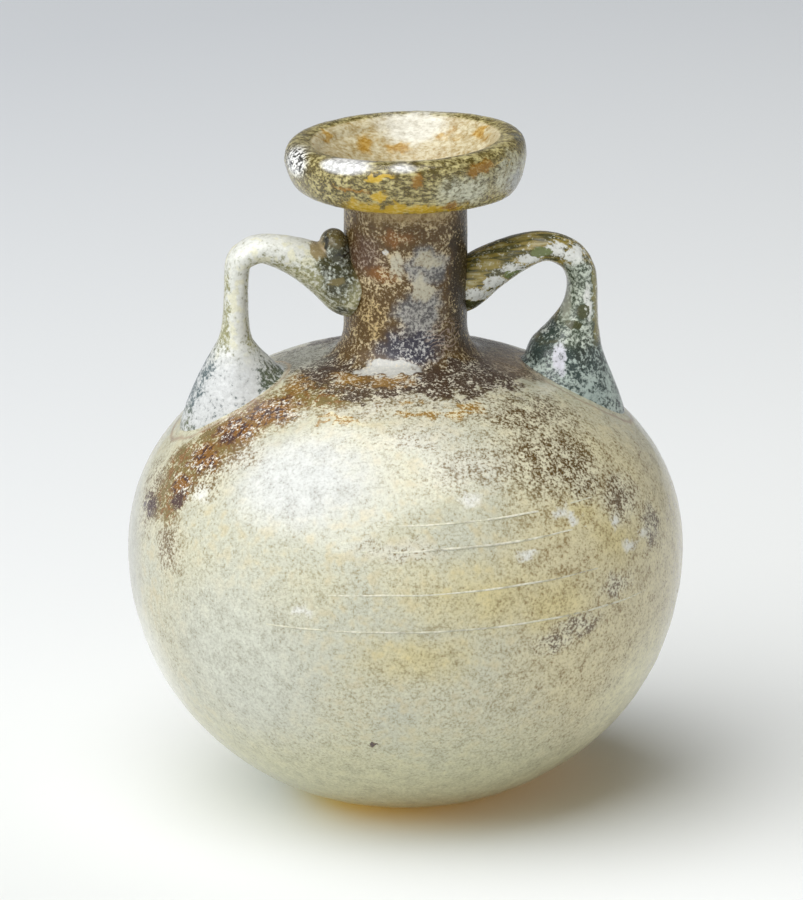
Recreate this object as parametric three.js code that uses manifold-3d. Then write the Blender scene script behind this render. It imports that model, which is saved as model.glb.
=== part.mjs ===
// A small blown-glass flask for oil or perfume, of an ancient kind: a squat globe with a short neck, a wide
// collar of folded glass at the mouth, and two handles trailed on hot from the shoulder to the neck. It is
// hollow, with a round bore down the neck. Units are millimetres, +Z is up, and the origin is the middle of
// the standing ring.
import * as THREE from "three";
import { mergeVertices } from "three/addons/utils/BufferGeometryUtils.js";
import Module from "manifold-3d";

// Body: two quarter ovals that meet at the widest level
const bodyRadius = 33;
const bodyDepth = 31.1; // widest level down to where the lower oval would close
const bodyRise = 24.3; // widest level up to where the upper oval would close
const lowerFullness = 2.06; // 2 is an ellipse, more is squarer
const upperFullness = 2.17;
const wall = 2.6;
const floorExtra = 1.2; // the glass is thicker at the bottom

// Foot of the body: a flat standing ring round a shallow hollow
const ringRadius = 9; // its outer edge
const ringWidth = 3.5;
const kickDepth = 0.8;

// Neck
const boreRadius = 4.8;
const neckWall = 2.4;
const neckLength = 20.1; // shoulder to the underside of the collar
const neckFillet = 3.6; // sweep of the neck's root into the shoulder
const innerFillet = 2.4;

// Collar
const collarRadius = 14.2;
const collarHeight = 6.1;
const lipInset = 1.85; // from the collar's side to the circle along the top of the lip
const underInset = 2.1; // from the collar's side to where the flat underside ends
const underBulge = 0.4;
const widestBelowLip = 2.4; // level of the collar's full radius
const throatInset = 2.15; // from the lip's top to the start of the dished mouth
const throatDepth = 1.5;
const throatBulge = 0.6;
const mouthDepth = 8.2; // lip down to where the bore begins
const lipTilt = 0.04; // the worked rim rises this much to the right, per millimetre
const underTilt = -0.009;

// Handles, each in its own upright plane through the axis. Drops are measured down from the collar's
// underside, insets in from the body's side.
const seatGap = 0.3; // between a handle and the vessel that it lies on
const sinkDepth = 2; // how far a handle runs on into the vessel before it is trimmed
const rightHandle = {
  name: "handle_right",
  azimuth: 4, // direction of the pad from the axis, where 0 is to the right
  swing: 7, // the neck end stands this much further round
  footInset: 6.4, // to the far tip of the pad on the shoulder
  footLength: 14.2,
  footWide: 12.6,
  flareShare: 0.89, // share of the upright's height in which the pad narrows to the limb
  outerFlare: 3.2, // the higher, the straighter the limb's far side
  limbInset: 11.85, // to the middle of the upright limb
  limbThick: 3.5,
  limbWide: 4.8,
  cornerRadius: 4.4,
  strapThick: 3.3,
  strapWide: 5.2,
  archDrop: 7.8, // to the middle of the strap at the top of the arch
  joinDrop: 12.15, // to the middle of the joint with the neck
  joinTall: 6.1,
  joinWide: 5.8,
  joinRoll: -24, // the strap's end turns its upper face to the front
};
const leftHandle = {
  name: "handle_left",
  azimuth: 186.5,
  swing: 5.5,
  footInset: 5.6,
  footLength: 14.3,
  footWide: 13,
  flareShare: 0.6,
  outerFlare: 1.4,
  limbInset: 12.7,
  limbThick: 2.7,
  limbWide: 4.6,
  cornerRadius: 3,
  strapThick: 3.2,
  strapWide: 5.2,
  archDrop: 6.7,
  joinDrop: 11.4,
  joinTall: 7,
  joinWide: 8.2,
  joinRoll: 0,
  fold: { turn: 3, thick: 3.3, wide: 5, tall: 9.4, topDrop: 4.7 }, // the trail's end, doubled up
};

const aroundVessel = 56;
const aroundHandle = 20;
const ringsPerSpan = 2;
const weldDistance = 1e-3;
const padSag = 0.9; // the pad's edge hugs the curving shoulder this far below the plane of its middle
const padShoulder = { drop: 0.2, spread: 0.93 };
const rootSpread = 1.03; // the buried root is this much wider than the pad
const rootLean = -105;
const rootDrop = 0.5;
const flarePower = 1.5; // the higher, the sooner the pad narrows
const fallPower = 1.6; // the higher, the longer the strap stays level before it falls to the neck
const widenPower = 1.25; // the higher, the later the strap widens to its joint
const flareStations = [0.36, 0.6, 0.84];
const cornerStations = [20, 50, 90];
const strapStations = [0.35, 0.7, 1];

const degrees = THREE.MathUtils.degToRad;
const point = (r, z) => new THREE.Vector2(r, z);

// Radii and levels that follow from the sizes above
const neckRadius = boreRadius + neckWall;
const lipRadius = collarRadius - lipInset;
const underRadius = collarRadius - underInset;
const throatRadius = lipRadius - throatInset;
const equatorHeight = bodyDepth * ovalShare(ringRadius / bodyRadius, lowerFullness);
const undersideHeight = shoulderHeight(neckRadius) + neckLength;
const lipHeight = undersideHeight + collarHeight;
const boreTop = lipHeight - mouthDepth;

// How high a quarter oval stands, as a share of its rise, at a share of its radius
function ovalShare(share, fullness) {
  return Math.pow(1 - Math.pow(share, fullness), 1 / fullness);
}

// Height of the shoulder at a radius, and how steeply it falls there
function shoulderHeight(r) {
  return equatorHeight + bodyRise * ovalShare(r / bodyRadius, upperFullness);
}

function shoulderSlope(r) {
  const step = 0.01;
  return Math.atan((shoulderHeight(r - step) - shoulderHeight(r + step)) / (2 * step));
}

// Points along a quarter oval centred on the axis, from one angle to another (0 is level, 90 is upright)
function ovalPoints(radius, height, fullness, centreZ, from, to, count) {
  return Array.from({ length: count }, (_, i) => {
    const angle = degrees(from + ((to - from) * i) / (count - 1));
    const r = radius * Math.pow(Math.cos(angle), 2 / fullness);
    return point(r, centreZ + height * Math.pow(Math.sin(angle), 2 / fullness));
  });
}

// Angle of the quarter oval at which its radius has come in to r
function ovalAngle(r, radius, fullness) {
  return THREE.MathUtils.radToDeg(Math.acos(Math.pow(r / radius, fullness / 2)));
}

function bend(start, corner, end, count) {
  return new THREE.QuadraticBezierCurve(start, corner, end).getPoints(count);
}

function outsideProfile() {
  const rootRadius = neckRadius + neckFillet;
  const ringInner = ringRadius - ringWidth;
  const downTo = ovalAngle(ringRadius, bodyRadius, lowerFullness);
  const upTo = ovalAngle(rootRadius, bodyRadius, upperFullness);
  const widest = point(collarRadius, lipHeight - widestBelowLip);
  return [
    point(0, kickDepth),
    ...bend(point(0, kickDepth), point(ringInner, kickDepth), point(ringInner, 0), 3).slice(1),
    point(ringRadius, 0),
    ...ovalPoints(bodyRadius, -bodyDepth, lowerFullness, equatorHeight, downTo, 0, 11).slice(1),
    ...ovalPoints(bodyRadius, bodyRise, upperFullness, equatorHeight, 0, upTo, 9).slice(1),
    ...bend(
      point(rootRadius, shoulderHeight(rootRadius)),
      point(neckRadius, shoulderHeight(neckRadius)),
      point(neckRadius, shoulderHeight(neckRadius) + neckFillet),
      4,
    ).slice(1),
    point(neckRadius, undersideHeight),
    point(underRadius, undersideHeight),
    ...bend(
      point(underRadius, undersideHeight),
      point((underRadius + collarRadius) / 2 + underBulge, undersideHeight),
      widest,
      4,
    ).slice(1),
    ...bend(widest, point(collarRadius, lipHeight), point(lipRadius, lipHeight), 4).slice(1),
  ];
}

function insideProfile() {
  const innerRadius = bodyRadius - wall;
  const rise = bodyRise - wall;
  const depth = bodyDepth - wall - floorExtra;
  const rootRadius = boreRadius + innerFillet;
  const upTo = ovalAngle(rootRadius, innerRadius, upperFullness);
  const root = ovalPoints(innerRadius, rise, upperFullness, equatorHeight, upTo, 0, 8);
  const boreFoot = equatorHeight + rise * ovalShare(boreRadius / innerRadius, upperFullness);
  return [
    ...bend(
      point(lipRadius, lipHeight),
      point(throatRadius + throatBulge, lipHeight),
      point(throatRadius, lipHeight - throatDepth),
      3,
    ).slice(1),
    ...bend(
      point(throatRadius, lipHeight - throatDepth),
      point(boreRadius, lipHeight - throatDepth - (mouthDepth - throatDepth) / 2),
      point(boreRadius, boreTop),
      4,
    ).slice(1),
    point(boreRadius, boreFoot + innerFillet),
    ...bend(point(boreRadius, boreFoot + innerFillet), point(boreRadius, boreFoot), root[0], 3).slice(1),
    ...root.slice(1),
    ...ovalPoints(innerRadius, -depth, lowerFullness, equatorHeight, 0, 90, 9).slice(1, -1),
    point(0, equatorHeight - depth),
  ];
}

// Moves each point of an open profile outwards by a distance; its ends stay on the axis
function grown(profile, distance) {
  return profile.map((p, i) => {
    const before = profile[Math.max(i - 1, 0)];
    const after = profile[Math.min(i + 1, profile.length - 1)];
    const along = after.clone().sub(before).normalize();
    const moved = point(p.x + along.y * distance, p.y - along.x * distance);
    return p.x === 0 ? point(0, moved.y) : moved;
  });
}

// The rim was worked by hand, so it leans a little: level at the neck's root, tilted at the lip
function leanRim(geometry) {
  const position = geometry.getAttribute("position");
  for (let i = 0; i < position.count; i++) {
    const z = position.getZ(i);
    const upNeck = THREE.MathUtils.smoothstep(z, shoulderHeight(neckRadius), undersideHeight);
    const upCollar = THREE.MathUtils.smoothstep(z, undersideHeight, lipHeight);
    const tilt = upNeck * THREE.MathUtils.lerp(underTilt, lipTilt, upCollar);
    position.setZ(i, z + tilt * position.getX(i));
  }
  return geometry;
}

function turned(profile) {
  return leanRim(new THREE.LatheGeometry(profile, aroundVessel).rotateX(Math.PI / 2));
}

// A ring of a handle's trail: its middle (r, z) in the handle's plane, the lean of its axis from upright
// (outwards is positive), its size in the plane, its size across it and its roll about its own axis
const ring = (r, z, lean, thick, wide, roll = 0) => ({ r, z, lean, thick, wide, roll });

function smoothThrough(values) {
  const corners = values.map((v) => new THREE.Vector3(...v));
  const curve = new THREE.CatmullRomCurve3(corners, false, "catmullrom", 0.5);
  return (along) => curve.getPoint(along).toArray();
}

// Bends a closed cylinder through the rings, and turns it about the flask's axis as it goes
function trail(rings, azimuth, swing) {
  const placeAt = smoothThrough(rings.map((g) => [g.r, g.z, degrees(g.lean)]));
  const sizeAt = smoothThrough(rings.map((g) => [g.thick / 2, g.wide / 2, degrees(g.roll)]));
  const geometry = new THREE.CylinderGeometry(1, 1, 1, aroundHandle, (rings.length - 1) * ringsPerSpan);
  const position = geometry.getAttribute("position");
  for (let i = 0; i < position.count; i++) {
    const along = THREE.MathUtils.clamp(position.getY(i) + 0.5, 0, 1);
    const [r, z, lean] = placeAt(along);
    const [thick, wide, roll] = sizeAt(along);
    const section = new THREE.Vector2(position.getX(i) * thick, -position.getZ(i) * wide);
    section.rotateAround(new THREE.Vector2(), roll);
    const flat = new THREE.Vector2(r + section.x * Math.cos(lean), section.y);
    flat.rotateAround(new THREE.Vector2(), degrees(azimuth + swing * along));
    position.setXYZ(i, flat.x, flat.y, z - section.x * Math.sin(lean));
  }
  return geometry;
}

function handleRings(h) {
  const { lerp, radToDeg } = THREE.MathUtils;
  const footOuter = bodyRadius - h.footInset;
  const limbReach = bodyRadius - h.limbInset;
  const footHalf = h.footLength / 2;
  const footReach = footOuter - footHalf * Math.cos(shoulderSlope(footOuter - footHalf));
  const slope = shoulderSlope(footReach);
  const seat = shoulderHeight(footReach);
  const limbOuter = limbReach + h.limbThick / 2;
  const archHeight = undersideHeight - h.archDrop;
  const cornerFoot = archHeight - h.cornerRadius;
  const joinHeight = undersideHeight - h.joinDrop;
  const strapStart = limbReach - h.cornerRadius;
  const flareHeight = h.flareShare * (cornerFoot - seat);

  // the pad, lifted off the shoulder along its normal
  const padRing = (lift, spread) =>
    ring(
      footReach + lift * Math.sin(slope),
      seat + lift * Math.cos(slope),
      radToDeg(slope),
      spread * h.footLength,
      spread * h.footWide,
    );
  // the flare from the pad up to the limb
  const flareRing = (up) => {
    const left = Math.pow(1 - up, flarePower);
    const thick = lerp(h.limbThick, h.footLength, left);
    const lean = slope * left;
    const outer = lerp(limbOuter, footOuter, Math.pow(1 - up, h.outerFlare));
    const wide = lerp(h.limbWide, h.footWide, left);
    return ring(outer - (thick / 2) * Math.cos(lean), seat + up * flareHeight, radToDeg(lean), thick, wide);
  };
  const cornerRing = (turn) => {
    const inward = h.cornerRadius * (1 - Math.cos(degrees(turn)));
    const upward = h.cornerRadius * Math.sin(degrees(turn));
    const thick = lerp(h.limbThick, h.strapThick, turn / 90);
    const wide = lerp(h.limbWide, h.strapWide, turn / 90);
    return ring(limbReach - inward, cornerFoot + upward, -turn, thick, wide);
  };
  // the strap from the arch in to the neck, falling ever more steeply
  const strapRing = (way) => {
    const steepness = (fallPower * (archHeight - joinHeight)) / (strapStart - neckRadius);
    return ring(
      lerp(strapStart, neckRadius, way),
      lerp(archHeight, joinHeight, Math.pow(way, fallPower)),
      -90 - radToDeg(Math.atan(steepness * Math.pow(way, fallPower - 1))),
      lerp(h.strapThick, h.joinTall, Math.pow(way, widenPower)),
      lerp(h.strapWide, h.joinWide, Math.pow(way, widenPower)),
      h.joinRoll * way,
    );
  };
  return [
    padRing(-padSag - sinkDepth, rootSpread),
    padRing(-padSag, 1),
    padRing(-padShoulder.drop, padShoulder.spread),
    ...flareStations.map(flareRing),
    ring(limbReach, (seat + flareHeight + cornerFoot) / 2, 0, h.limbThick, h.limbWide),
    ...cornerStations.map(cornerRing),
    ...strapStations.map(strapRing),
    ring(neckRadius - sinkDepth, joinHeight - rootDrop, rootLean, h.joinTall, h.joinWide, h.joinRoll),
  ];
}

// The folded end: a flattened drop that rises against the neck from below the joint and leans out at its tip
function foldRings(h) {
  const { thick, wide, tall, topDrop } = h.fold;
  const top = undersideHeight - topDrop;
  const station = (up, out, lean, fullness) =>
    ring(neckRadius + out * thick, top - (1 - up) * tall, lean, fullness * thick, fullness * wide);
  return [
    station(0, 0.2, 25, 0.3),
    station(0.07, 0.27, 20, 0.75),
    station(0.3, 0.36, 8, 1),
    station(0.6, 0.42, 2, 1),
    station(0.86, 0.5, 12, 0.92),
    station(0.965, 0.55, 16, 0.66),
    station(1, 0.55, 16, 0.23),
  ];
}

const wasm = await Module();
wasm.setup();

function solidFrom(geometry) {
  const bare = geometry.clone().deleteAttribute("normal").deleteAttribute("uv");
  const merged = mergeVertices(bare, weldDistance);
  return new wasm.Manifold(
    new wasm.Mesh({
      numProp: 3,
      vertProperties: merged.getAttribute("position").array,
      triVerts: new Uint32Array(merged.index.array),
    }),
  );
}

function geometryFrom(solid) {
  const mesh = solid.getMesh();
  return new THREE.BufferGeometry()
    .setAttribute("position", new THREE.BufferAttribute(new Float32Array(mesh.vertProperties), 3))
    .setIndex(new THREE.BufferAttribute(new Uint32Array(mesh.triVerts), 1));
}

const amberGlass = new THREE.MeshStandardMaterial({ color: 0xb9b296, roughness: 0.55, metalness: 0 });
const greenGlass = new THREE.MeshStandardMaterial({ color: 0xa9b4a4, roughness: 0.45, metalness: 0 });

function named(name, geometry, material) {
  const mesh = new THREE.Mesh(geometry, material);
  mesh.name = name;
  return mesh;
}

function vessel() {
  const profile = [...outsideProfile(), ...insideProfile()];
  return named("vessel", turned(profile), amberGlass);
}

// What a handle is trimmed by: the vessel with its hollow filled, grown by the gap
function trimmer() {
  const filled = grown([...outsideProfile(), point(0, lipHeight)], seatGap);
  return solidFrom(turned(filled));
}

function handle(h, trim) {
  let solid = solidFrom(trail(handleRings(h), h.azimuth, h.swing));
  if (h.fold) solid = solid.add(solidFrom(trail(foldRings(h), h.azimuth + h.swing + h.fold.turn, 0)));
  return named(h.name, geometryFrom(solid.subtract(trim)), greenGlass);
}

const flask = new THREE.Group();
const trim = trimmer();
flask.add(vessel(), handle(rightHandle, trim), handle(leftHandle, trim));

export default flask;
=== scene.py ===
import math
from types import SimpleNamespace

import bmesh
import bpy
from mathutils import Matrix, Vector, noise


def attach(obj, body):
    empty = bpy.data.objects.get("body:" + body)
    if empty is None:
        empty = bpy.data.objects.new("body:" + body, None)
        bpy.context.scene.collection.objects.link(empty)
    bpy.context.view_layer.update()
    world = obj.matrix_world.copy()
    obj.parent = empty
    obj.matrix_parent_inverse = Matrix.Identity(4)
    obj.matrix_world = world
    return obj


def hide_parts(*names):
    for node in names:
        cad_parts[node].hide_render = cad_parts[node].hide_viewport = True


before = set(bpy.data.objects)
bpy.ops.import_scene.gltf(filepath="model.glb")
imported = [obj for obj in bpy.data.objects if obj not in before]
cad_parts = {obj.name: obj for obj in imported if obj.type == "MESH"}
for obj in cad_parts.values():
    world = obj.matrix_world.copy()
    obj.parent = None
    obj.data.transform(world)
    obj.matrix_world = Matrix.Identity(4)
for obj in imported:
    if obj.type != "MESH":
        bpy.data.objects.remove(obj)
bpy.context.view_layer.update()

mm = 0.001  # lengths below are in millimetres, unless a note says otherwise
scene = bpy.context.scene
up = (0, 0, 1)


# Small helpers

def lerp(a, b, share):
    return a + (b - a) * share


def smoothstep(value, low, high):
    share = min(max((value - low) / (high - low), 0), 1)
    return share * share * (3 - 2 * share)


def bend(start, corner, end, count):  # points of a quadratic curve, its start left out
    points = []
    for i in range(1, count + 1):
        t = i / count
        points.append(tuple(
            (1 - t) ** 2 * a + 2 * t * (1 - t) * b + t ** 2 * c
            for a, b, c in zip(start, corner, end)
        ))
    return points


def meshFrom(bm, name):
    mesh = bpy.data.meshes.new(name)
    bm.to_mesh(mesh)
    bm.free()
    return mesh


def placed(name, data):
    thing = bpy.data.objects.new(name, data)
    scene.collection.objects.link(thing)
    return thing


def pieceFrom(bm, name, material, slot, *nodes):  # a finished piece, riding on the flask
    mesh = meshFrom(bm, name)
    mesh.materials.append(material)
    for face in mesh.polygons:
        face.use_smooth = True
    piece = placed(name, mesh)
    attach(piece, "root")
    if nodes:
        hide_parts(*nodes)


# Camera: a long lens, looking slightly down

view = dict(
    aim=(-0.477, 0, 41.73),
    distance=1000,
    elevation=16,  # degrees above the horizon
    lens=335.5,  # on a 36 mm frame
)


def addCamera():
    camera = placed("camera", bpy.data.cameras.new("camera"))
    camera.data.sensor_fit = "VERTICAL"
    camera.data.sensor_height = 36
    camera.data.lens = view["lens"]
    camera.data.clip_start = 0.05
    aim = Vector(view["aim"]) * mm
    rise = math.radians(view["elevation"])
    camera.location = aim + Vector((0, -math.cos(rise), math.sin(rise))) * view["distance"] * mm
    camera.rotation_euler = (math.pi / 2 - rise, 0, 0)
    scene.camera = camera


addCamera()
print("camera placed")


# Node helpers

def plug(tree, node, values):  # a value that is a socket is linked, any other is set
    for key, value in values.items():
        if isinstance(value, bpy.types.NodeSocket):
            tree.links.new(value, node.inputs[key])
        else:
            node.inputs[key].default_value = value


def put(tree, kind, values=None, **settings):
    node = tree.nodes.new("ShaderNode" + kind)
    for key, value in settings.items():
        setattr(node, key, value)
    plug(tree, node, values or {})
    return node


def maths(tree, operation, a, b=0):
    return put(tree, "Math", {0: a, 1: b}, operation=operation).outputs[0]


def vector(tree, operation, a, b=(0, 0, 0), scale=1):
    node = put(tree, "VectorMath", {0: a, 1: b, 3: scale}, operation=operation)
    return node.outputs["Value" if operation in ("LENGTH", "DOT_PRODUCT") else "Vector"]


def mixed(tree, share, a, b):  # colours a and b
    a, b = ((*colour, 1) if isinstance(colour, tuple) else colour for colour in (a, b))
    return put(tree, "Mix", {0: share, 6: a, 7: b}, data_type="RGBA").outputs[2]


def blended(tree, share, a, b):  # plain numbers a and b
    return put(tree, "Mix", {0: share, 2: a, 3: b}, data_type="FLOAT").outputs[0]


def between(tree, value, low, high):  # 0 below low, 1 above high
    values = {"Value": value, "From Min": low, "From Max": high}
    return put(tree, "MapRange", values, interpolation_type="SMOOTHSTEP").outputs[0]


def newGroup(name, inputs, outputs):  # sockets by name, with their first values
    tree = bpy.data.node_groups.new(name, "ShaderNodeTree")
    for side, sockets in (("INPUT", inputs), ("OUTPUT", outputs)):
        for title, value in sockets.items():
            kind = "NodeSocketVector" if isinstance(value, tuple) else "NodeSocketFloat"
            tree.interface.new_socket(title, in_out=side, socket_type=kind).default_value = value
    return tree, tree.nodes.new("NodeGroupInput").outputs, tree.nodes.new("NodeGroupOutput").inputs


def use(tree, group, values):
    return put(tree, "Group", values, node_tree=group).outputs[0]


def newMaterial(name):
    material = bpy.data.materials.new(name)
    material.use_nodes = True
    return material, material.node_tree, material.node_tree.nodes["Principled BSDF"]


# Shared effects, all on places in millimetres

def makePatch():  # a soft-edged oval round a centre
    start = dict(At=(0, 0, 0), Centre=(0, 0, 0), Reach=(1, 1, 1), Core=0.5)
    tree, given, out = newGroup("patch", start, dict(Mask=0))
    local = vector(tree, "SUBTRACT", given["At"], given["Centre"])
    away = vector(tree, "LENGTH", vector(tree, "DIVIDE", local, given["Reach"]))
    tree.links.new(maths(tree, "SUBTRACT", 1, between(tree, away, given["Core"], 1)), out[0])
    return tree


def makeRagged():  # pushes places about, so that edges drawn with them are torn
    tree, given, out = newGroup("ragged", dict(At=(0, 0, 0), Size=2, Push=1), dict(At=(0, 0, 0)))
    scale = maths(tree, "DIVIDE", 1, given["Size"])
    values = {"Vector": given["At"], "Scale": scale, "Detail": 2.5, "Roughness": 0.7}
    swirl = put(tree, "TexNoise", values).outputs["Color"]
    push = maths(tree, "MULTIPLY", given["Push"], 4)
    shift = vector(tree, "SCALE", vector(tree, "SUBTRACT", swirl, (0.5, 0.5, 0.5)), scale=push)
    tree.links.new(vector(tree, "ADD", given["At"], shift), out[0])
    return tree


patch = makePatch()
ragged = makeRagged()


def places(tree):  # Object coordinates in millimetres
    at = put(tree, "TexCoord").outputs["Object"]
    return vector(tree, "SCALE", at, scale=1 / mm)


def part(tree, at, direction):  # how far along a direction a place is
    return vector(tree, "DOT_PRODUCT", at, direction)


def radiusOf(tree, at):  # distance from the flask's axis
    return vector(tree, "LENGTH", vector(tree, "MULTIPLY", at, (1, 1, 0)))


def oval(tree, at, place, core=0.5):  # place holds the centre and the reach to each side
    return use(tree, patch, {"At": at, "Centre": place[:3], "Reach": place[3:], "Core": core})


def both(tree, a, b):
    return maths(tree, "MULTIPLY", a, b)


def either(tree, masks):
    total = masks[0]
    for mask in masks[1:]:
        total = maths(tree, "MAXIMUM", total, mask)
    return total


# Glass

glassLooks = dict(
    amber=(0.84, 0.66, 0.26),
    green=(0.66, 0.70, 0.40),
    index=1.52,
    rough=0.04,
    rippleSize=1 / 0.55,
    ripple=(0.35, 0.35),  # strength, and depth in millimetres
)


shades = dict(  # what is left of a lamp's light behind each face
    low=(0.93, 0.76, 0.30),
    high=(0.45, 0.44, 0.32),
    left=(0.85, 0.86, 0.86),
    rise=(5, 13),  # where low becomes high
    across=(-6, -18),  # and where the left starts
)


def field(tree, at, size, detail, rough=0.5):  # plain noise
    values = {"Vector": at, "Scale": 1 / size, "Detail": detail, "Roughness": rough}
    return put(tree, "TexNoise", values).outputs[0]


def raised(tree, height, strength, depth):
    values = {"Height": height, "Strength": strength, "Distance": depth * mm}
    return put(tree, "Bump", values).outputs[0]


def letThrough(tree, surface):  # lamps shine through, tinted
    at = places(tree)
    tint = mixed(tree, between(tree, part(tree, at, up), *shades["rise"]), shades["low"], shades["high"])
    tint = mixed(tree, between(tree, part(tree, at, (1, 0, 0)), *shades["across"]), tint, shades["left"])
    clear = put(tree, "BsdfTransparent", {"Color": tint})
    path = put(tree, "LightPath").outputs["Is Shadow Ray"]
    mix = put(tree, "MixShader", {0: path, 1: surface.outputs[0], 2: clear.outputs[0]})
    tree.links.new(mix.outputs[0], tree.nodes["Material Output"].inputs["Surface"])


def glassMaterial(name, colour):
    material, tree, surface = newMaterial(name)
    ripple = field(tree, places(tree), glassLooks["rippleSize"], 3)
    plug(tree, surface, {
        "Base Color": (*colour, 1),
        "Roughness": glassLooks["rough"],
        "IOR": glassLooks["index"],
        "Transmission Weight": 1,
        "Normal": raised(tree, ripple, *glassLooks["ripple"]),
    })
    letThrough(tree, surface)
    return material


amberGlass = glassMaterial("amberGlass", glassLooks["amber"])
greenGlass = glassMaterial("greenGlass", glassLooks["green"])


# Crust: what lies on the glass, as layers of colour, cover, roughness and height

crustLooks = dict(
    index=1.45,
    coatIndex=1.5,
    coatRough=0.19,
    levels=(0.66, 0.32),  # of the noise where no ground is covered, and how much lower where all is
    lit=(0.82, 1.15),  # how dark the pits and how light the tops are
    crustCover=0.98,
    groundRough=0.25,
    crustRough=0.55,
)


def crustMaterial(name, layers, bumpDepth):
    material, tree, surface = newMaterial(name)
    top = layers(tree, places(tree))
    plug(tree, surface, {
        "IOR": crustLooks["index"],
        "Coat IOR": crustLooks["coatIndex"],
        "Coat Roughness": crustLooks["coatRough"],
        "Base Color": top["colour"],
        "Alpha": top["cover"],
        "Roughness": top["rough"],
        "Coat Weight": top["gloss"],
        "Normal": raised(tree, top["height"], 1, bumpDepth),
    })
    letThrough(tree, surface)
    return material


def graded(tree, value, low, high, dark, light):  # value from low to high becomes dark to light
    values = {"Value": value, "From Min": low, "From Max": high, "To Min": dark, "To Max": light}
    return put(tree, "MapRange", values).outputs[0]


def shaded(tree, colour, factor):  # colour made darker or lighter by a factor
    return vector(tree, "SCALE", colour, scale=factor)


def anyOf(tree, at, ovals, core):
    return either(tree, [oval(tree, at, place, core) for place in ovals])


def plus(tree, first, *parts):  # a start, and masks with the share that each adds
    total = first
    for mask, share in parts:
        total = maths(tree, "ADD", total, both(tree, mask, share))
    return total


# A weathered skin is a ground with grains of crust on it. Ground and crust are colours, share is how much of
# the ground the grains hide, cover is how solid the ground is, soft is how softly the grains end, and gloss
# is how much the whole shines. A stain changes these inside its ovals. An oval is a centre and its reach to
# each side, and core is how much of it is full.

def layOver(tree, below, mask, **changes):
    above = dict(below)
    for name, value in changes.items():
        blend = mixed if name in ("ground", "crust") else blended
        above[name] = blend(tree, mask, below[name], value)
    return above


def stain(*ovals, core=0.3, strength=1, **changes):
    return ovals, core, strength, changes


def layStains(tree, at, skin, stains):
    for ovals, core, strength, changes in stains:
        mask = both(tree, anyOf(tree, at, ovals, core), strength)
        skin = layOver(tree, skin, mask, **changes)
    return skin


def layHalo(tree, at, skin, halo, **changes):  # a thin line round an oval
    inside = oval(tree, at, halo, 0.9)
    line = both(tree, both(tree, inside, maths(tree, "SUBTRACT", 1, inside)), 4)
    return layOver(tree, skin, line, **changes)


def grained(tree, skin, grain, tone):  # puts grains on the ground
    top, fall = crustLooks["levels"]
    level = maths(tree, "SUBTRACT", top, both(tree, skin["share"], fall))
    low, high = maths(tree, "SUBTRACT", level, skin["soft"]), maths(tree, "ADD", level, skin["soft"])
    on = between(tree, grain, low, high)
    lit = both(tree, tone, graded(tree, grain, 0.3, 0.7, *crustLooks["lit"]))
    return {
        "colour": shaded(tree, mixed(tree, on, skin["ground"], skin["crust"]), lit),
        "cover": blended(tree, on, skin["cover"], crustLooks["crustCover"]),
        "rough": blended(tree, on, crustLooks["groundRough"], crustLooks["crustRough"]),
        "gloss": blended(tree, on, skin["gloss"], maths(tree, "POWER", skin["gloss"], 0.5)),
        "height": grain,
    }


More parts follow.
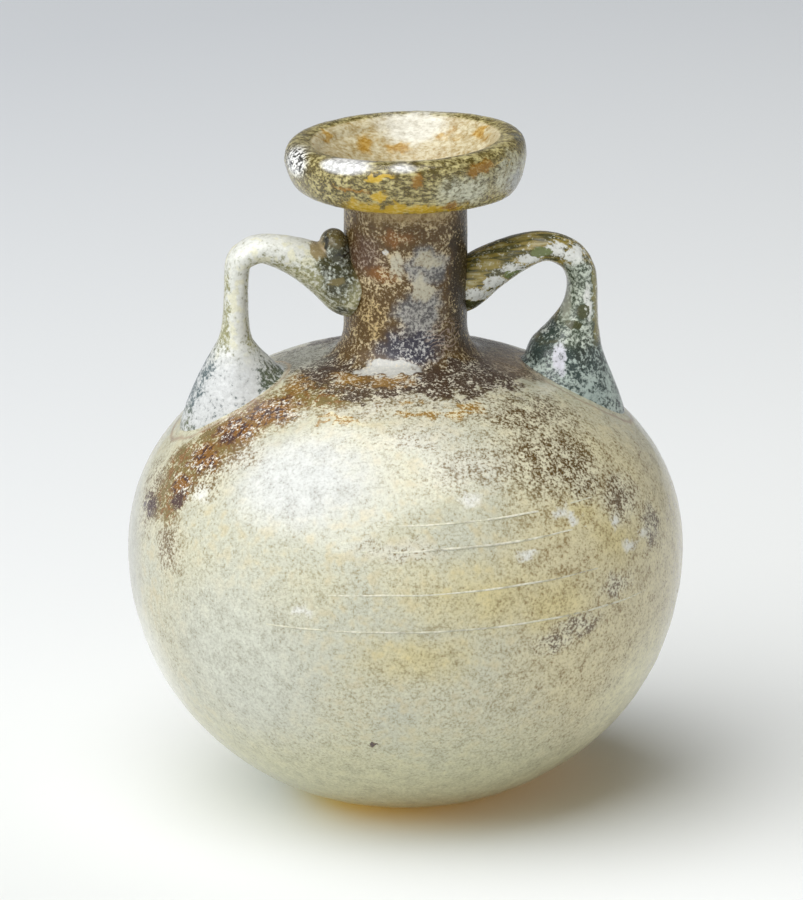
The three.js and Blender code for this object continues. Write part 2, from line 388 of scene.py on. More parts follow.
bodyCrust = dict(
    ground=(0.4, 0.345, 0.19),
    crust=(0.585, 0.575, 0.43),
    grey=(0.55, 0.555, 0.445),
    tan=(0.515, 0.47, 0.315),
    low=(0.575, 0.56, 0.35),
    lowGround=(0.44, 0.41, 0.25),
    share=0.84,
    soft=0.15,
    gloss=1,
    rust=(0.23, 0.1, 0.012),
    olive=(0.21, 0.15, 0.04),
    maroon=(0.055, 0.018, 0.014),
    root=dict(
        ground=(0.068, 0.04, 0.024), crust=(0.58, 0.55, 0.45), share=0.23, cover=0.92, soft=0.06, gloss=0.5,
    ),
    neck=dict(
        ground=(0.115, 0.062, 0.013), crust=(0.53, 0.44, 0.27), share=0.29, cover=0.94, soft=0.07, gloss=0.08,
    ),
    collar=dict(
        ground=(0.18, 0.135, 0.026), crust=(0.48, 0.425, 0.195), share=0.38, cover=0.55, soft=0.15, gloss=0.7,
    ),
    mouth=dict(
        ground=(0.43, 0.31, 0.12), crust=(0.55, 0.5, 0.34), share=0.6, cover=0.9, soft=0.18, gloss=0.1,
    ),
    lowFrom=(20, 6),  # heights between which one look turns into the next
    rootFrom=(51.6, 52.6),
    rootTo=(57, 54),
    neckFrom=(53.8, 55),
    collarFrom=(73.3, 73.9),
    lineTone=(0.4, 0.32, 0.22),
    neckLine=(0.36, 0.27, 0.21),
    streak=[  # the rust-coloured streak at the left
        (-10, -11, 52, 8, 7, 2.6), (-17.5, -12, 49.6, 6.5, 7, 4), (-22.4, -12.6, 46.6, 6, 6, 4.4),
        (-26, -11.8, 43, 4.6, 6, 4.4), (-28, -13.5, 39.5, 3.2, 5, 3.4),
    ],
    streakGrains=dict(crust=(0.56, 0.54, 0.38), share=0.2, cover=0.95, soft=0.08),
    rustGrains=dict(crust=(0.78, 0.78, 0.72), share=0.14, gloss=0.5),
    rustAt=[
        (-15, -12.5, 49.8, 6.5, 5, 2), (-19.4, -13, 47.8, 5.5, 5, 2), (-23.6, -14, 44.6, 3.4, 4, 2.2),
        (-26.4, -14.5, 41.6, 1.4, 4, 2),
    ],
    spots=[  # dark holes in the crust
        (-26.5, -15, 39.6, 1.3, 2.4, 2), (-30, -10, 37.9, 1.7, 4, 1.8),
        (-20.5, -13.6, 46.8, 1.4, 1.6, 1), (-4.1, -28.3, 14, 0.6, 1, 0.6),
    ],
    groove=(11.2, 11.9),  # radii of the groove inside the lip, where a dark reflection is painted at the front
    halos=[(20.15, 1.4, 50, 7.4, 7.3, 26), (-20.9, -2.4, 50, 7.5, 7.5, 26)],  # round the handles' feet
)
bodyCrust["patches"] = [
    stain(  # yellower to the right
        (26, -17, 30, 25, 26, 26), core=0.5, ground=(0.33, 0.235, 0.085), crust=(0.6, 0.54, 0.33), share=0.7,
        soft=0.11,
    ),
    stain(  # greyer low down at the left
        (-18, -24, 24, 16, 14, 16), core=0.3, ground=(0.44, 0.42, 0.31), crust=(0.57, 0.58, 0.49), share=0.84,
    ),
    stain(  # painted light: paler and smoother low down at either side edge, as if lit by the bright floor
        (-29, -4, 18, 8, 14, 12), core=0.3, ground=(0.6, 0.6, 0.5), crust=(0.74, 0.74, 0.64), share=0.9,
    ),
    stain((27, -10, 15, 12, 16, 13), core=0.3, ground=(0.6, 0.56, 0.38), crust=(0.75, 0.71, 0.47), share=0.9),
    stain((-34, 0, 31, 7, 16, 12), core=0.5, ground=(0.32, 0.3, 0.22), crust=(0.46, 0.455, 0.38)),
    stain(  # smooth ochre
        (8, -31, 33, 15, 6, 7), (17, -28, 31, 10, 6, 5), (24, -20, 37, 6, 6, 5), (20, -22, 41, 5, 5, 3),
        (21, -15, 46, 5, 4, 3), (2, -33, 26, 12, 6, 5),
        core=0, strength=0.75, ground=(0.36, 0.26, 0.07), crust=(0.61, 0.52, 0.23),
    ),
    stain(  # painted highlight: whiter, greyer crust where the window's reflection shines
        (-11, -22, 44, 14, 12, 8), ground=(0.37, 0.36, 0.32), crust=(0.53, 0.545, 0.52), share=0.9,
    ),
    stain(  # dark salt and pepper
        (17, -19, 46, 14, 12, 7.5), (20.4, -19.6, 43.6, 6, 5, 4.5), (28.8, -14, 36.5, 2.6, 4, 4),
        (24.4, -22.1, 31.7, 4.5, 4, 1.8), (20, -26, 28, 5.5, 4, 1.6), (17.5, -28, 26.4, 5, 4, 2),
        (14, -14, 50, 15, 10, 3.6), (25, -17, 41, 5, 6, 5),
        core=0.2, ground=(0.13, 0.08, 0.026), crust=(0.61, 0.58, 0.42), share=0.46, soft=0.08,
    ),
    stain(  # brown grains in the right half of the shine, and below it
        (7, -25, 47, 8, 8, 4.5), (2, -22, 49.6, 9, 6, 2.2), (-1, -30.5, 38.4, 9, 6, 1.6),
        core=0.1, strength=0.7, ground=(0.18, 0.12, 0.05), crust=(0.61, 0.6, 0.52), share=0.58, soft=0.08,
    ),
    stain(  # brown grains at the far left
        (-28, -17, 35, 4, 5, 5), (-30, -9, 39, 3.4, 7, 7), (-23, -16, 43, 8, 7, 6),
        core=0.2, ground=(0.18, 0.12, 0.04), crust=(0.58, 0.56, 0.43), share=0.46, soft=0.08,
    ),
    stain(  # brown between the streak and the shining window, and above the window
        (-1, -15, 51, 15, 6, 1.6), (-20, -17, 46, 7, 6, 2.6), core=0.1, ground=(0.22, 0.15, 0.07),
        crust=(0.6, 0.59, 0.52), share=0.5, soft=0.07,
    ),
    stain(  # ochre and amber below the root
        (1, -16.4, 51, 5, 3, 0.9), (-8, -17.6, 50.5, 4, 3, 0.5), (7, -15.4, 51.2, 3, 3, 0.7),
        (-12.5, -11.6, 51.5, 3, 4, 1.4), (5.6, -16.4, 50.9, 2, 3, 0.9),
        core=0.4, ground=(0.34, 0.19, 0.035), crust=(0.64, 0.59, 0.4), share=0.34, soft=0.07,
    ),
]
bodyCrust["flakes"] = [
    stain(  # white patches
        (18, -24, 41, 1.8, 3, 1.1), (19.4, -23.6, 40.2, 1.6, 3, 0.8), (7.6, -27, 43.6, 2, 3, 0.9),
        (14, -28.7, 37.3, 1.8, 3, 0.8), (26.2, -18.8, 35.6, 2, 3, 0.9), (28.2, -17, 36.2, 1.4, 3, 1),
        (24.6, -19.8, 38.8, 1, 3, 1.5), (-12, -30.6, 31, 1.8, 3, 0.8), (-24, -18.4, 41.6, 1.6, 3, 1.6),
        core=0.1, crust=(0.73, 0.73, 0.67), share=0.9,
    ),
]
bodyCrust["neckPatches"] = [
    stain((0, -7, 73.4, 9, 9, 3.4), ground=(0.31, 0.2, 0.07), crust=(0.42, 0.32, 0.16), share=0.5, soft=0.2),
    stain((-5, -5, 67, 3.6, 5, 3.4), core=0.3, ground=(0.105, 0.055, 0.03), crust=(0.34, 0.27, 0.21)),
    stain((-1, -7, 69.4, 3, 3, 1), (-3, -7, 65, 3, 3, 1.6), core=0.1, ground=(0.24, 0.095, 0.015)),
    stain((-4, -6, 59.5, 3.4, 4, 4.4), core=0.3, crust=(0.5, 0.38, 0.18), share=0.38),
    stain(  # slate around the pale patches
        (1.6, -7, 60.5, 4.2, 3, 4), (2.6, -7, 66, 3.4, 3, 3), core=0.5, ground=(0.125, 0.118, 0.118),
        crust=(0.4, 0.39, 0.36), share=0.45, soft=0.12,
    ),
    stain(  # pale patches
        (1.9, -7, 63.2, 1.6, 3, 2), (-0.8, -7.2, 66.3, 1.3, 3, 2.2), (2.6, -7, 66.6, 2, 3, 1.2),
        core=0.5, ground=(0.3, 0.22, 0.13), crust=(0.52, 0.49, 0.38), share=0.85,
    ),
    stain((-2.6, -6.7, 67.8, 0.6, 2, 0.7), core=0.6, ground=(0.72, 0.72, 0.7)),
    stain(  # blue-black at the foot
        (1, -8, 56.4, 7, 5, 2.6), core=0.4, ground=(0.042, 0.038, 0.058), crust=(0.52, 0.51, 0.5), share=0.34,
        gloss=0.3,
    ),
    stain((7.2, -3, 64, 3.4, 5, 12), core=0.5, ground=(0.035, 0.018, 0.003), share=0.05, gloss=0),
    stain(  # amber on the root
        (-7, -10, 53.2, 4, 4, 1), (-2, -11, 53.2, 4.4, 3, 0.8), (-12.5, -8.5, 51.9, 2.4, 4, 0.9),
        core=0.3, ground=(0.3, 0.16, 0.03), share=0.3,
    ),
    stain(  # smooth grey behind the left of the neck, smooth brown behind the right
        (-12, 1, 52.4, 7, 7, 3.4), core=0.5, ground=(0.27, 0.265, 0.215), crust=(0.4, 0.4, 0.35), share=0.4,
    ),
    stain((13, 0, 52.6, 7, 9, 3), core=0.4, ground=(0.2, 0.145, 0.095), crust=(0.34, 0.28, 0.2), share=0.3),
    # painted highlight: the window's white gleam across the neck's root
    stain((-2, -9, 54.3, 4.8, 3, 0.9), core=0.75, ground=(0.57, 0.57, 0.54), gloss=0.8, share=0.1),
]
bodyCrust["collarPatches"] = [
    stain(  # grey-white crust at the front right
        (7, -12, 76.8, 5.4, 5, 2.4), (12, -6, 77.6, 4, 7, 3), core=0.4, share=0.66, crust=(0.53, 0.53, 0.4),
        ground=(0.25, 0.22, 0.1),
    ),
    stain((13, -5, 76.2, 1.8, 4.5, 1.8), core=0.5, ground=(0.17, 0.18, 0.16), crust=(0.34, 0.35, 0.32)),
    stain(  # dark glass on the lip at the right and round the back
        (12.8, 0, 80, 2, 7, 0.9), (4, 13, 79.6, 9, 2, 0.8), (-12.8, 4, 79, 1.6, 7, 0.8),
        core=0.4, ground=(0.07, 0.075, 0.055), share=0.2, cover=0.75,
    ),
    stain(  # clear yellow glass along the bottom edge and below the painted highlight stripe, painted bright to stand for light shining through it
        (0, -11, 74.6, 9, 6, 1.3), (-3, -13.2, 78.5, 2.3, 2.4, 0.6), (-3.7, -13.6, 76.4, 1.4, 2.4, 0.9),
        core=0.6, ground=(0.68, 0.44, 0.02), share=0.12, cover=0.75,
    ),
    stain(  # amber patches
        (1.4, -13.2, 78.4, 1.1, 2.4, 1.1), (3.4, -12.8, 78.9, 0.9, 2, 0.8), (8.5, -10.6, 79, 2.8, 2.6, 1.1),
        (-6.7, -12.4, 76.8, 3.2, 2.6, 0.55), (5, -12, 74.8, 1.6, 2.4, 0.8),
        core=0.5, ground=(0.34, 0.165, 0.01), share=0.12, cover=0.75,
    ),
]
bodyCrust["gleam"] = [  # painted highlight: the window's reflection as a bright stripe on the rim, and its broken end at the left as white glints on painted dark reflection
    stain(
        (-6.6, -11, 79.4, 5, 3, 1.1), (-0.2, -12.6, 79.5, 2.6, 1.8, 0.8), core=0.6, ground=(0.84, 0.84, 0.82),
        crust=(0.9, 0.9, 0.88), gloss=1,
    ),
    stain(
        (-12.8, -5, 78.4, 2.6, 5.5, 2.4), core=0.4, ground=(0.025, 0.025, 0.02), crust=(0.84, 0.84, 0.82),
        share=0.55, soft=0.04, cover=0.9,
    ),
]
bodyCrust["mouthPatches"] = [
    stain((1, 10, 79, 6, 4, 3), core=0.4, ground=(0.6, 0.56, 0.44), crust=(0.67, 0.65, 0.56), share=0.8),
    stain(
        (-5, 7.6, 77.4, 1.8, 2.6, 1.7), (5.7, 8.5, 78.1, 2.3, 1.8, 1.3), (-1, 8, 76.6, 2.4, 1.6, 1.1),
        (-9.5, 4.8, 79, 1.4, 1.8, 0.9), (9.6, 5, 79, 2, 3, 1.2),
        core=0.5, ground=(0.4, 0.22, 0.03), crust=(0.52, 0.37, 0.12), share=0.2,
    ),
]


def bodyLayers(tree, at):
    c = SimpleNamespace(**bodyCrust)
    torn = use(tree, ragged, {"At": at, "Size": 2.6, "Push": 1.0})
    height = part(tree, torn, up)
    mottle = field(tree, at, 0.7, 1)
    broad = field(tree, at, 8, 0)
    middling = field(tree, at, 1.6, 2)
    onCollar = between(tree, part(tree, at, up), *c.collarFrom)
    wider = vector(tree, "MULTIPLY", at, (0.5, 0.8, 1))
    grainAt = put(tree, "Mix", {0: onCollar, 4: at, 5: wider}, data_type="VECTOR").outputs[1]
    grain = field(tree, grainAt, 0.36, 3, 0.75)

    lowDown = between(tree, height, *c.lowFrom)
    cool = mixed(tree, between(tree, broad, 0.42, 0.58), c.crust, c.grey)
    skin = {
        "ground": mixed(tree, lowDown, c.ground, c.lowGround),
        "crust": mixed(tree, between(tree, middling, 0.48, 0.70), cool, c.tan),
        "share": graded(tree, broad, 0.3, 0.7, c.share - 0.08, c.share + 0.08),
        "cover": graded(tree, height, 50, 54, 0.98, 0.9),
        "soft": graded(tree, height, 30, 50, c.soft, c.soft - 0.02),
        "gloss": graded(tree, height, 10, 30, c.gloss - 0.15, c.gloss),
    }
    skin = layOver(tree, skin, lowDown, crust=c.low)
    skin = layStains(tree, torn, skin, c.patches)

    streak = anyOf(tree, torn, c.streak, 0.45)
    tan = mixed(tree, between(tree, mottle, 0.48, 0.62), c.olive, c.rust)
    skin = layOver(tree, skin, streak, ground=tan, **c.streakGrains)
    rusty = anyOf(tree, torn, c.rustAt, 0.4)
    deep = mixed(tree, between(tree, mottle, 0.46, 0.60), c.rust, c.maroon)
    skin = layOver(tree, skin, rusty, ground=deep, **c.rustGrains)

    root = both(tree, between(tree, height, *c.rootFrom), between(tree, height, *c.rootTo))
    skin = layOver(tree, skin, root, **c.root)
    skin = layOver(tree, skin, between(tree, height, *c.neckFrom), **c.neck)
    skin = layStains(tree, torn, skin, c.neckPatches)
    skin = layOver(tree, skin, onCollar, **c.collar)
    skin = layStains(tree, torn, skin, c.collarPatches)
    # painted highlight and dark reflection on the rim
    skin = layStains(tree, at, skin, c.gleam)
    radius = radiusOf(tree, at)
    inner, outer = c.groove
    inMouth = both(tree, onCollar, between(tree, radius, inner + 0.2, inner - 0.2))
    skin = layOver(tree, skin, inMouth, **c.mouth)
    skin = layStains(tree, torn, skin, c.mouthPatches)
    # painted dark reflection: a dark line in the groove inside the lip, at the front only
    line = both(tree, between(tree, radius, inner - 0.2, inner), between(tree, radius, outer, outer - 0.3))
    line = both(tree, line, oval(tree, torn, (4, -9, 79, 9, 9, 3), 0.7))
    skin = layOver(tree, skin, line, ground=(0.03, 0.03, 0.035), share=0.1, cover=0.8)
    frayed = use(tree, ragged, {"At": at, "Size": 1.7, "Push": 0.7})
    skin = layStains(tree, frayed, skin, c.flakes)
    spot = anyOf(tree, frayed, c.spots, 0.4)
    skin = layOver(tree, skin, spot, ground=c.maroon, share=0.1, soft=0.05)
    nearby = use(tree, ragged, {"At": at, "Size": 2.6, "Push": 0.25})
    for halo in c.halos:
        skin = layHalo(tree, nearby, skin, halo, ground=c.lineTone, crust=c.lineTone)
    wave = maths(tree, "SINE", part(tree, torn, (-1.5, 0, 9.6)))
    lines = both(tree, between(tree, wave, 0.55, 0.95), oval(tree, at, (5, -6, 57.4, 3.4, 4, 2.6)))
    skin = layOver(tree, skin, lines, ground=c.neckLine, crust=c.neckLine, gloss=0.1)
    skin["share"] = plus(tree, skin["share"], (middling, 1.1), (-0.55, 1))
    return grained(tree, skin, grain, graded(tree, middling, 0.3, 0.7, 0.9, 1.1))


vesselCrust = crustMaterial("vesselCrust", bodyLayers, 0.11)


leftCrust = dict(
    olive=(0.26, 0.25, 0.11),
    slate=(0.09, 0.12, 0.13),
    chalk=(0.66, 0.67, 0.62),
    ivory=(0.65, 0.64, 0.5),
    lilac=(0.55, 0.565, 0.565),
    rising=dict(share=(0.88, 1.08), cover=(0.95, 0.85), soft=(0.08, 0.11), gloss=(0.35, 0.45)),
)
leftCrust["patches"] = [
    stain((-15.8, -3, 70.4, 1.6, 4, 0.9), core=0.2, share=0.5),
    stain((-15.4, -5, 51.4, 4, 5, 5.4), core=0.3, ground=(0.07, 0.09, 0.06), share=0.3),
    stain((-26.3, -5, 46, 3, 5, 3.4), core=0.2, share=0.5, ground=(0.12, 0.14, 0.07)),
    stain((-8, -4, 66, 3, 5, 6.4), core=0.6, ground=(0.05, 0.05, 0.02), crust=(0.54, 0.58, 0.53), share=0.29),
    stain((-10.4, -4, 67.8, 1.4, 4, 1.8), core=0.5, ground=(0.36, 0.28, 0.15), share=0.1),
    stain(
        (-8.4, -3.4, 69, 2.4, 4, 1.7), (-5.6, -3, 65, 0.9, 3, 6), core=0.5, ground=(0.13, 0.1, 0.035),
        share=0.1,
    ),
    stain(
        (-9.4, -4, 68.4, 0.35, 4, 1.2), (-7.6, -5, 66.8, 1.4, 4, 0.3), core=0.5, ground=(0.02, 0.02, 0.015),
        share=0,
    ),
    stain((-8.2, -4.4, 63.8, 1.5, 3, 0.9), core=0.6, ground=(0.19, 0.15, 0.05), share=0.08),
    stain((-7.6, -4.4, 60, 1.6, 3, 0.9), core=0.4, ground=(0.08, 0.09, 0.06), share=0.2),
]


def handleFields(tree, at, push):
    torn = use(tree, ragged, {"At": at, "Size": 1.6, "Push": push})
    return torn, part(tree, torn, up), field(tree, at, 0.45, 4, 0.72), field(tree, at, 1.4, 2)


def leftLayers(tree, at):
    c = SimpleNamespace(**leftCrust)
    torn, height, grain, middling = handleFields(tree, at, 0.45)
    low = between(tree, height, 57, 53)
    skin = {name: graded(tree, height, 46, 56, *ends) for name, ends in c.rising.items()}
    skin["ground"] = mixed(tree, low, c.olive, c.slate)
    skin["crust"] = mixed(tree, between(tree, middling, 0.5, 0.62), c.chalk, c.ivory)
    skin = layOver(tree, skin, low, crust=c.lilac)
    radius = radiusOf(tree, torn)
    edge = either(tree, [between(tree, radius, 21.1, 21.7), between(tree, radius, 19.6, 19.1)])
    onLimb = both(tree, between(tree, height, 54, 57), between(tree, height, 68, 65))
    skin = layOver(tree, skin, both(tree, edge, onLimb), ground=(0.34, 0.33, 0.16), share=0.35)
    footEdge = part(tree, torn, (0.878, 0, -0.48))  # along the slope of the foot's outer side
    footEdge = both(tree, between(tree, footEdge, -44.9, -45.8), low)
    skin = layOver(tree, skin, footEdge, ground=(0.10, 0.14, 0.16), share=0.42)
    skin = layStains(tree, torn, skin, c.patches)
    skin["share"] = plus(tree, skin["share"], (middling, 1), (-0.5, 1))
    return grained(tree, skin, grain, graded(tree, middling, 0.3, 0.7, 0.95, 1.05))


rightCrust = dict(
    chalk=(0.68, 0.7, 0.66),
    olive=(0.1, 0.09, 0.02),
    gold=(0.42, 0.32, 0.075),
    pale=(0.62, 0.56, 0.31),
    teal=(0.045, 0.07, 0.065),
    aqua=(0.4, 0.47, 0.43),
    soft=0.08,
    rising=dict(share=(0.56, 0.08), cover=(0.95, 0.85), gloss=(0.4, 0.6)),
)
rightCrust["patches"] = [
    stain(  # limb
        (20.5, -1, 60, 4, 5, 6.5), core=0.7, ground=(0.08, 0.11, 0.07), crust=(0.52, 0.57, 0.49), share=0.42,
    ),
    stain(  # white crust along the lower front, over the bend and down the limb
        (8.6, -1.4, 61.2, 2.4, 5, 1.3), (10.6, -1, 62.6, 2.4, 5, 1.2), (12.6, -1, 64.1, 2.4, 5, 1.1),
        (14.6, -1, 65.3, 2.6, 5, 1), (17.6, -1, 66.4, 2.2, 5, 1.5), (20.2, -1, 65.8, 2.4, 5, 2),
        (21.7, -0.6, 60, 0.8, 5, 3.4),
        core=0.3, crust=(0.74, 0.75, 0.72), share=0.95,
    ),
    stain(  # clear green windows
        (16.3, -1, 66.1, 1.6, 4, 0.8), (12.6, -1, 63.5, 1.2, 4, 0.6), core=0.8, ground=(0.17, 0.21, 0.06),
        share=0, gloss=1,
    ),
    stain(  # dark windows
        (21.1, -1, 58.9, 0.8, 4, 1), (20, -1, 57.4, 1, 4, 0.6), (7.6, -1, 59.9, 1.8, 4, 0.8),
        core=0.8, ground=(0.06, 0.065, 0.015), share=0,
    ),
    stain((19, 0, 60, 0.9, 5, 3.4), core=0.5, ground=(0.4, 0.42, 0.34), share=0.1),  # pale inner edge
    stain((17.2, -1, 56.6, 2.4, 6, 1.6), core=0.5, ground=(0.06, 0.09, 0.08), share=0.3),
    stain((18.3, -4.6, 54.2, 1.4, 4, 2.8), core=0.7, crust=(0.66, 0.66, 0.74), share=0.98),
    stain((21.4, -4, 54.8, 2.2, 4, 3), core=0.4, ground=(0.02, 0.03, 0.022), share=0.34),
    stain((23, -4, 49.6, 3.6, 4, 2.2), core=0.3, crust=(0.33, 0.4, 0.37), share=0.66),
]


def rightLayers(tree, at):
    c = SimpleNamespace(**rightCrust)
    torn, height, grain, middling = handleFields(tree, at, 0.4)
    drawn = {"Vector": at, "Rotation": (0, math.radians(14), 0), "Scale": (0.13, 1, 1)}
    along = put(tree, "Mapping", drawn).outputs[0]
    streaks = field(tree, along, 0.6, 2)
    low = between(tree, height, 57.5, 54.5)
    skin = {name: graded(tree, height, 51, 56, *ends) for name, ends in c.rising.items()}
    skin["soft"] = c.soft
    skin["ground"] = mixed(tree, between(tree, streaks, 0.42, 0.58), c.olive, c.gold)
    skin["crust"] = mixed(tree, low, c.chalk, c.aqua)
    skin = layOver(tree, skin, between(tree, streaks, 0.60, 0.70), ground=c.pale)
    skin = layOver(tree, skin, low, ground=c.teal)
    skin = layStains(tree, torn, skin, c.patches)
    onLimb = both(tree, between(tree, height, 54, 57), between(tree, height, 67, 65))
    outer = both(tree, onLimb, between(tree, radiusOf(tree, torn), 22.1, 22.5))
    skin = layOver(tree, skin, outer, ground=(0.28, 0.25, 0.08), share=0.1)
    skin["share"] = plus(tree, skin["share"], (middling, 1.1), (-0.55, 1))
    return grained(tree, skin, grain, graded(tree, middling, 0.3, 0.7, 0.9, 1.1))


leftHandleCrust = crustMaterial("leftHandleCrust", leftLayers, 0.08)
rightHandleCrust = crustMaterial("rightHandleCrust", rightLayers, 0.08)
print("materials made")


# Vessel: one closed wall, spun about the axis

flask = dict(
    bodyRadius=33,
    bodyDepth=31.1,  # widest level down to where the lower oval would close
    bodyRise=24.3,
    lowerFullness=2.06,
    upperFullness=2.17,
    wall=2.6,
    floorExtra=1.2,
    ringRadius=9,
    ringWidth=3.5,
    kickDepth=0.8,
    boreRadius=4.8,
    neckRadius=7.2,
    neckLength=20.1,
    neckFillet=3.6,
    innerFillet=2.4,
    collarRadius=14.2,
    collarHeight=6.1,
    lipInset=1.85,
    underInset=2.1,
    underBulge=0.4,
    widestBelowLip=2.4,
    throatInset=2.15,
    throatDepth=1.5,
    throatBulge=0.6,
    mouthDepth=8.2,
    lipTilt=0.04,  # rise to the right, per millimetre
    underTilt=-0.009,
    around=360,
)


def ovalShare(share, fullness):
    return (1 - share ** fullness) ** (1 / fullness)


ringShare = flask["ringRadius"] / flask["bodyRadius"]
flask["equator"] = flask["bodyDepth"] * ovalShare(ringShare, flask["lowerFullness"])


def shoulderHeight(r):
    return flask["equator"] + flask["bodyRise"] * ovalShare(r / flask["bodyRadius"], flask["upperFullness"])


def shoulderSlope(r):
    step = 0.01
    return math.atan((shoulderHeight(r - step) - shoulderHeight(r + step)) / (2 * step))


flask["underside"] = shoulderHeight(flask["neckRadius"]) + flask["neckLength"]
flask["lip"] = flask["underside"] + flask["collarHeight"]


def ovalPoints(radius, height, fullness, start, end, count):  # start left out, angles from level
    points = []
    for i in range(1, count + 1):
        angle = math.radians(lerp(start, end, i / count))
        share = max(math.cos(angle), 0) ** (2 / fullness)
        points.append((radius * share, flask["equator"] + height * max(math.sin(angle), 0) ** (2 / fullness)))
    return points


def ovalAngle(r, radius, fullness):
    return math.degrees(math.acos((r / radius) ** (fullness / 2)))


def straight(start, end, count):
    return [tuple(lerp(a, b, i / count) for a, b in zip(start, end)) for i in range(1, count + 1)]


def vesselProfile():
    f = SimpleNamespace(**flask)
    root = f.neckRadius + f.neckFillet
    ringInner = f.ringRadius - f.ringWidth
    seat = shoulderHeight(f.neckRadius)
    under = (f.collarRadius - f.underInset, f.underside)
    widest = (f.collarRadius, f.lip - f.widestBelowLip)
    lip = (f.collarRadius - f.lipInset, f.lip)
    throat = (lip[0] - f.throatInset, f.lip - f.throatDepth)
    boreTop = f.lip - f.mouthDepth
    downTo = ovalAngle(f.ringRadius, f.bodyRadius, f.lowerFullness)
    upTo = ovalAngle(root, f.bodyRadius, f.upperFullness)
    innerRadius = f.bodyRadius - f.wall
    rise = f.bodyRise - f.wall
    depth = f.bodyDepth - f.wall - f.floorExtra
    innerRoot = f.boreRadius + f.innerFillet
    innerTo = ovalAngle(innerRoot, innerRadius, f.upperFullness)
    boreFoot = f.equator + rise * ovalShare(f.boreRadius / innerRadius, f.upperFullness)
    rootPoint = (innerRoot, f.equator + rise * ovalShare(innerRoot / innerRadius, f.upperFullness))
    points = [(0, f.kickDepth)]
    points += bend(points[0], (ringInner, f.kickDepth), (ringInner, 0), 8)
    points += straight(points[-1], (f.ringRadius, 0), 5)
    points += ovalPoints(f.bodyRadius, -f.bodyDepth, f.lowerFullness, downTo, 0, 62)
    points += ovalPoints(f.bodyRadius, f.bodyRise, f.upperFullness, 0, upTo, 56)
    points += bend(points[-1], (f.neckRadius, seat), (f.neckRadius, seat + f.neckFillet), 12)
    points += straight(points[-1], (f.neckRadius, f.underside - 0.3), 30)
    points += bend(points[-1], (f.neckRadius, f.underside), (f.neckRadius + 0.3, f.underside), 3)
    points += straight(points[-1], under, 8)
    points += bend(under, ((under[0] + f.collarRadius) / 2 + f.underBulge, f.underside), widest, 14)
    points += bend(widest, (f.collarRadius, f.lip), lip, 10)
    points += bend(lip, (throat[0] + f.throatBulge, f.lip), throat, 8)
    points += bend(throat, (f.boreRadius, (throat[1] + boreTop) / 2), (f.boreRadius, boreTop), 14)
    points += straight(points[-1], (f.boreRadius, boreFoot + f.innerFillet), 12)
    points += bend(points[-1], (f.boreRadius, boreFoot), rootPoint, 6)
    points += ovalPoints(innerRadius, rise, f.upperFullness, innerTo, 0, 20)
    points += ovalPoints(innerRadius, -depth, f.lowerFullness, 0, 90, 22)
    return points


def leanRim(bm):  # level at the neck's root, tilted at the lip
    f = SimpleNamespace(**flask)
    for vert in bm.verts:
        z = vert.co.z / mm
        upNeck = smoothstep(z, shoulderHeight(f.neckRadius), f.underside)
        upCollar = smoothstep(z, f.underside, f.lip)
        vert.co.z += upNeck * lerp(f.underTilt, f.lipTilt, upCollar) * vert.co.x


def unevenness(place):  # of hand-blown glass, in millimetres
    return 0.10 * noise.noise(place * 0.09) + 0.05 * noise.noise(place * 0.31)


def grit(place):  # of the weathered skin, in millimetres
    lumps = noise.noise(place * 1.1)
    pits = max(noise.noise(place * 2.3) - 0.25, 0)
    return 0.03 * lumps - 0.10 * pits


def spinVessel():
    bm = bmesh.new()
    verts = [bm.verts.new((r * mm, 0, z * mm)) for r, z in vesselProfile()]
    edges = [bm.edges.new(pair) for pair in zip(verts, verts[1:])]
    doublings = 3  # an eighth is spun, and doubled round to the whole
    angle = math.tau / 2 ** doublings
    bmesh.ops.spin(
        bm, geom=verts + edges, cent=(0, 0, 0), axis=(0, 0, 1), angle=angle,
        steps=flask["around"] // 2 ** doublings, use_merge=False, use_duplicate=False,
    )
    for doubling in range(doublings):
        copied = bmesh.ops.duplicate(bm, geom=bm.verts[:] + bm.edges[:] + bm.faces[:])["geom"]
        turn = Matrix.Rotation(angle * 2 ** doubling, 4, "Z")
        bmesh.ops.transform(bm, matrix=turn, verts=[g for g in copied if isinstance(g, bmesh.types.BMVert)])
    bmesh.ops.remove_doubles(bm, verts=bm.verts, dist=0.002 * mm)
    bmesh.ops.recalc_face_normals(bm, faces=bm.faces)
    leanRim(bm)
    bm.normal_update()
    standing = flask["kickDepth"] * 2
    for vert in bm.verts:
        place = vert.co / mm
        share = smoothstep(place.z, standing / 4, standing)
        vert.co += vert.normal * unevenness(place) * share * mm
    bm.normal_update()
    return bm


def grownSkin(bm, thickness):  # the crust: just outside the glass all over, and rough
    for vert in bm.verts:
        place = vert.co / mm
        share = smoothstep(place.z, 0.1, 2)
        vert.co += vert.normal * (thickness + grit(place) * share) * mm
    bm.normal_update()
    return bm


skinThickness = 0.12
wall = spinVessel()
crust = grownSkin(wall.copy(), skinThickness)
pieceFrom(crust, "flask_crust", vesselCrust, "weathered_glass", "vessel")
pieceFrom(wall, "flask_glass", amberGlass, "weathered_glass", "vessel")
print("vessel made")


# Handles: a trail of glass through rings, as wide and thick as the hand that pulled it left it

shared = dict(
    around=56,
    perSpan=9,
    sink=1.0,  # how far they run into the vessel's wall
    padSag=0.9,
    padDrop=0.2,
    padSpread=0.93,
    rootSpread=1.0,
    rootLean=-105,
    rootDrop=0.5,
    flarePower=1.5,
    fallPower=1.6,
    widenPower=1.25,
    flareStations=(0.36, 0.6, 0.84),
    cornerStations=(20, 50, 90),
    strapStations=(0.35, 0.7, 1),
    voxel=0.2,
    smoothings=3,
    skin=0.08,
)

